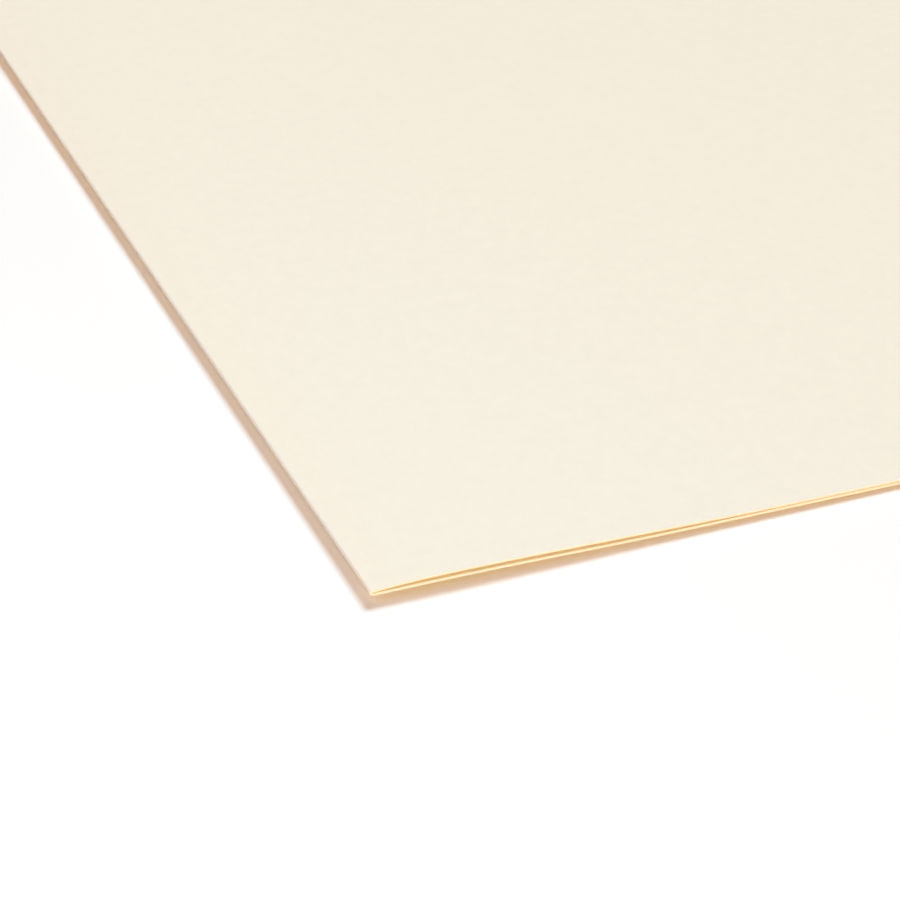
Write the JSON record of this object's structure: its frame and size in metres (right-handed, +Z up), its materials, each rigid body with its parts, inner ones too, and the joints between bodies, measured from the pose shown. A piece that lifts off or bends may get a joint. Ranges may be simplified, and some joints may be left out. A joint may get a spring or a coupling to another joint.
{
  "type": "file folder",
  "caption": "Letter-size folder of manila board with a centre index tab, one sheet folded once, lying closed; its front cover opens flat.",
  "frame": {"origin": "on the table, under the middle of the folder's outline", "axes": "+X along the fold, +Y from the fold to the tab, +Z up from the table through the covers"},
  "size_m": [0.2984, 0.2414, 0.0021],
  "materials": {
    "manila_board": "matte"
  },
  "bodies": {
    "back": {"back_cover": "manila_board", "index_tab": "manila_board", "fold_crease": "manila_board"},
    "front": {"front_cover": "manila_board"}
  },
  "joints": [
    {"name": "cover_fold", "type": "hinge", "parent": "back", "child": "front", "pos_m": [0, -0.12033, 0.00139], "axis": [1, 0, 0], "range_deg": [0, 180], "deforming": ["fold_crease"]}
  ]
}
